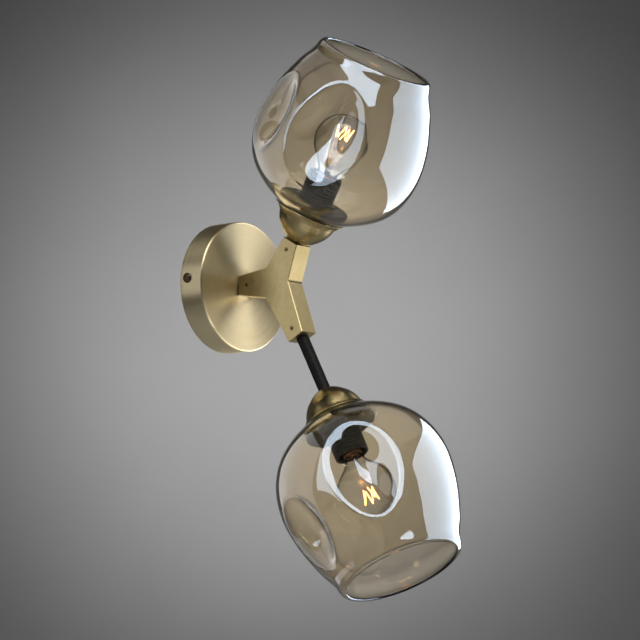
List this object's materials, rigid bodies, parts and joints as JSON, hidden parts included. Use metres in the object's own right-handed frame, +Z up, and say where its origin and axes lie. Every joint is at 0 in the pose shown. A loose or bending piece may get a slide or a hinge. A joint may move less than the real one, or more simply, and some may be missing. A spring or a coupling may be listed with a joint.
{
  "type": "double arm wall sconce",
  "caption": "Wall sconce with a round brass wall cover, a Y-shaped brass block and two amber glass globe shades, one up on a short arm and one down on a black rod.",
  "frame": {"origin": "centre of the wall cover's back, on the wall", "axes": "+Y into the wall, -Y out into the room, +Z up, +X along the wall"},
  "size_m": [0.1426, 0.2327, 0.4551],
  "materials": {
    "brushed_brass": "circular brushed, champagne antique",
    "satin_brass": "satin brushed, broken edges",
    "antique_brass": "darkened, polished",
    "zinc_steel": "zinc plated",
    "bronzed_steel": "dark bronzed",
    "white_plastic": "moulded",
    "plain_brass": "plain",
    "black_tube": "satin black",
    "black_phenolic": "moulded, slight gloss",
    "dark_insert": "moulded",
    "black_rubber": "matt",
    "amber_glass": "smoky amber, clear, fire polished rim",
    "slip_nylon": "smooth",
    "gloss_black": "glossy",
    "solder": "solder",
    "lamp_cap": "plain",
    "clear_glass": "clear",
    "filament_wire": "glowing"
  },
  "bodies": {
    "wall_plate": {"canopy_cover": "brushed_brass", "mounting_bar": "zinc_steel", "canopy_screws": "bronzed_steel", "wall_stub": "zinc_steel", "stub_washer": "zinc_steel", "stub_nut": "zinc_steel", "terminal_block": "white_plastic", "terminal_screws": "zinc_steel", "earth_screw": "plain_brass"},
    "y_arm": {"y_connector": "satin_brass", "arm_grub_screws": "bronzed_steel"},
    "upper_head": {"upper_stem": "black_tube", "upper_cup": "antique_brass", "upper_cup_nut": "zinc_steel", "upper_lampholder": "black_phenolic", "upper_shade_seat": "black_phenolic", "upper_holder_insert": "dark_insert", "upper_screw_shell": "plain_brass", "upper_centre_contact": "plain_brass", "upper_shade_gasket": "black_rubber", "upper_glass_shade": "amber_glass"},
    "upper_ring_slide": {"upper_slip_washer": "slip_nylon"},
    "upper_ring": {"upper_shade_ring": "gloss_black"},
    "upper_bulb_slide": {"upper_bulb_tip": "solder"},
    "upper_bulb": {"upper_bulb_cap": "lamp_cap", "upper_bulb_glass": "clear_glass", "upper_bulb_stem": "clear_glass", "upper_bulb_filament": "filament_wire"},
    "lower_head": {"lower_rod": "black_tube", "lower_cup": "antique_brass", "lower_cup_nut": "zinc_steel", "lower_lampholder": "black_phenolic", "lower_shade_seat": "black_phenolic", "lower_holder_insert": "dark_insert", "lower_screw_shell": "plain_brass", "lower_centre_contact": "plain_brass", "lower_shade_gasket": "black_rubber", "lower_glass_shade": "amber_glass"},
    "lower_ring_slide": {"lower_slip_washer": "slip_nylon"},
    "lower_ring": {"lower_shade_ring": "gloss_black"},
    "lower_bulb_slide": {"lower_bulb_tip": "solder"},
    "lower_bulb": {"lower_bulb_cap": "lamp_cap", "lower_bulb_glass": "clear_glass", "lower_bulb_stem": "clear_glass", "lower_bulb_filament": "filament_wire"}
  },
  "joints": [
    {"name": "y_swivel", "type": "hinge", "parent": "wall_plate", "child": "y_arm", "pos_m": [0, -0.0605, 0], "axis": [0, -1, 0], "range_deg": [-170, 170]},
    {"name": "upper_head_swivel", "type": "hinge", "parent": "y_arm", "child": "upper_head", "pos_m": [0, -0.07979, 0.03262], "axis": [0, -0.509, 0.8607], "range_deg": [-170, 170]},
    {"name": "upper_ring_travel", "type": "slide", "parent": "upper_head", "child": "upper_ring_slide", "axis": [0, -0.509, 0.8607], "range_m": [0, 0.0301]},
    {"name": "upper_ring_turn", "type": "hinge", "parent": "upper_ring_slide", "child": "upper_ring", "pos_m": [0, -0.07979, 0.03262], "axis": [0, -0.509, 0.8607], "range_deg": [0, 5400]},
    {"name": "upper_bulb_travel", "type": "slide", "parent": "upper_head", "child": "upper_bulb_slide", "axis": [0, -0.509, 0.8607], "range_m": [0, 0.0142]},
    {"name": "upper_bulb_turn", "type": "hinge", "parent": "upper_bulb_slide", "child": "upper_bulb", "pos_m": [0, -0.07979, 0.03262], "axis": [0, -0.509, 0.8607], "range_deg": [0, 1800]},
    {"name": "lower_head_swivel", "type": "hinge", "parent": "y_arm", "child": "lower_head", "pos_m": [0, -0.11051, -0.0921], "axis": [0, -0.4772, -0.8788], "range_deg": [-170, 170]},
    {"name": "lower_ring_travel", "type": "slide", "parent": "lower_head", "child": "lower_ring_slide", "axis": [0, -0.4772, -0.8788], "range_m": [0, 0.0301]},
    {"name": "lower_ring_turn", "type": "hinge", "parent": "lower_ring_slide", "child": "lower_ring", "pos_m": [0, -0.11051, -0.0921], "axis": [0, -0.4772, -0.8788], "range_deg": [0, 5400]},
    {"name": "lower_bulb_travel", "type": "slide", "parent": "lower_head", "child": "lower_bulb_slide", "axis": [0, -0.4772, -0.8788], "range_m": [0, 0.0142]},
    {"name": "lower_bulb_turn", "type": "hinge", "parent": "lower_bulb_slide", "child": "lower_bulb", "pos_m": [0, -0.11051, -0.0921], "axis": [0, -0.4772, -0.8788], "range_deg": [0, 1800]}
  ],
  "couplings": [
    {"joint": "upper_ring_travel", "follows": "upper_ring_turn", "m_per_rad": 0.00031831},
    {"joint": "upper_bulb_travel", "follows": "upper_bulb_turn", "m_per_rad": 0.00044882},
    {"joint": "lower_ring_travel", "follows": "lower_ring_turn", "m_per_rad": 0.00031831},
    {"joint": "lower_bulb_travel", "follows": "lower_bulb_turn", "m_per_rad": 0.00044882}
  ]
}
